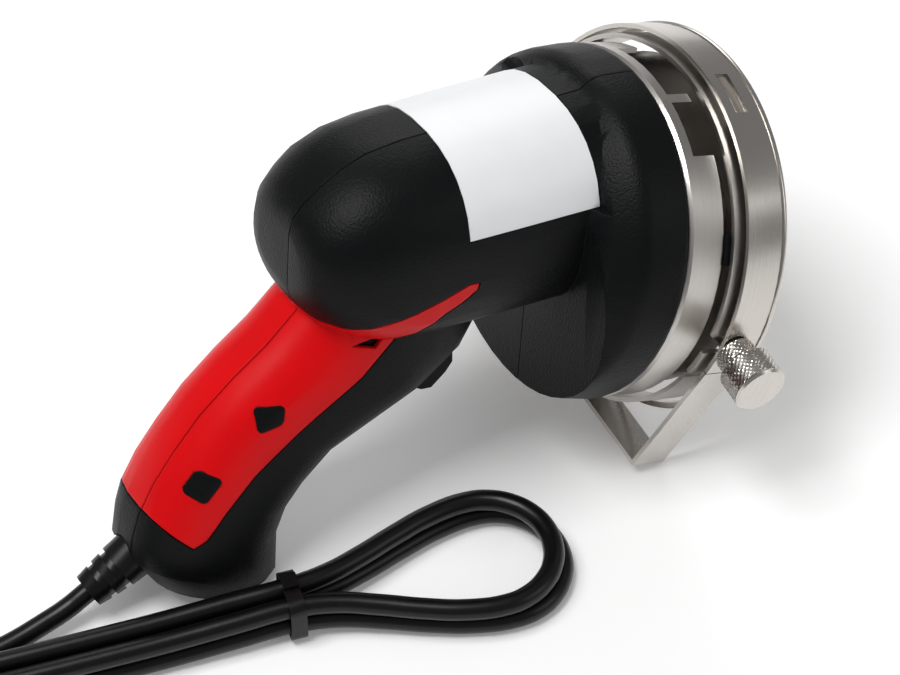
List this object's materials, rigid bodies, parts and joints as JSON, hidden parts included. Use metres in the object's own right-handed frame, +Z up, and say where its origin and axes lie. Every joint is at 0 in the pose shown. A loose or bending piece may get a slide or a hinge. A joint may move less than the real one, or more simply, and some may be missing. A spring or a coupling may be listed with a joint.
{
  "type": "electric kebab slicer",
  "caption": "Hand-held electric slicer with a pistol grip, a motor barrel, a round blade in a steel cup, a sliding gauge band with a V guard, and a mains cord with a plug.",
  "frame": {"origin": "on the floor, under the middle of the slicer without its cord", "axes": "+Z up, +X the way the blade head points, +Y to the left of the slicer"},
  "size_m": [0.4689, 0.1386, 0.125],
  "materials": {
    "black_abs": "fine grain, soft sheen",
    "black_pvc": "satin",
    "brushed_steel": "brushed round the axis",
    "cast_aluminium": "cast",
    "copper": "wound and lacquered",
    "label": "bare white film",
    "nylon": "natural",
    "polished_steel": "polished",
    "red_abs": "semi-gloss",
    "zinc_steel": "zinc plated"
  },
  "bodies": {
    "housing": {"bearing_plate": "cast_aluminium", "blade_cup": "brushed_steel", "brush_left": "zinc_steel", "brush_right": "zinc_steel", "cord_hank": "black_pvc", "cord_lead": "black_pvc", "cord_tie": "black_pvc", "cup_screw_1": "zinc_steel", "cup_screw_2": "zinc_steel", "cup_screw_3": "zinc_steel", "cup_screw_4": "zinc_steel", "grip_left": "red_abs", "grip_right": "red_abs", "guard_post_1": "black_abs", "guard_post_2": "black_abs", "guard_post_3": "black_abs", "housing_left": "black_abs", "housing_right": "black_abs", "housing_screw_1": "zinc_steel", "housing_screw_2": "zinc_steel", "housing_screw_3": "zinc_steel", "housing_screw_4": "zinc_steel", "housing_screw_5": "zinc_steel", "inner_guard": "brushed_steel", "motor_bearing_front": "brushed_steel", "motor_bearing_rear": "brushed_steel", "plug_body": "black_pvc", "plug_pin_1": "polished_steel", "plug_pin_2": "polished_steel", "rating_label": "label", "spindle_bearing": "brushed_steel", "stator": "zinc_steel", "strain_relief": "black_pvc", "switch": "nylon", "trigger_pin": "zinc_steel"},
    "blade_assembly": {"spindle": "brushed_steel", "drive_gear": "brushed_steel", "blade": "polished_steel", "blade_flange": "brushed_steel", "blade_nut": "brushed_steel"},
    "rotor": {"armature": "copper", "commutator": "copper", "fan": "nylon", "pinion": "brushed_steel"},
    "trigger": {"trigger": "black_abs"},
    "gauge": {"gauge_band": "polished_steel", "v_guard": "polished_steel"},
    "thumb_screw": {"thumb_screw": "polished_steel"},
    "lock_nut": {"lock_nut": "polished_steel"}
  },
  "joints": [
    {"name": "blade_spin", "type": "hinge", "parent": "housing", "child": "blade_assembly", "pos_m": [0.07802, 0.00857, 0.0596], "axis": [0.9316, -0.0321, -0.362], "continuous": true},
    {"name": "rotor_spin", "type": "hinge", "parent": "housing", "child": "rotor", "pos_m": [-0.00162, 0.01183, 0.09405], "axis": [0.988, 0, -0.1542], "continuous": true},
    {"name": "trigger_press", "type": "hinge", "parent": "housing", "child": "trigger", "pos_m": [0.00843, 0.00671, 0.05795], "axis": [-0.0229, 0.9889, -0.1467], "range_deg": [0, 5], "stiffness_Nm_per_rad": 0.8, "springref_deg": -3.44},
    {"name": "gauge_slide", "type": "slide", "parent": "housing", "child": "gauge", "axis": [-0.9316, 0.0321, 0.362], "range_m": [0, 0.005]},
    {"name": "thumb_screw_turn", "type": "hinge", "parent": "gauge", "child": "thumb_screw", "pos_m": [0.07894, -0.05142, 0.05513], "axis": [-0.053, -0.9974, -0.0479], "continuous": true},
    {"name": "lock_nut_turn", "type": "hinge", "parent": "gauge", "child": "lock_nut", "pos_m": [0.07894, -0.05142, 0.05513], "axis": [-0.053, -0.9974, -0.0479], "continuous": true}
  ],
  "couplings": [
    {"joint": "rotor_spin", "follows": "blade_spin", "ratio": -3}
  ]
}
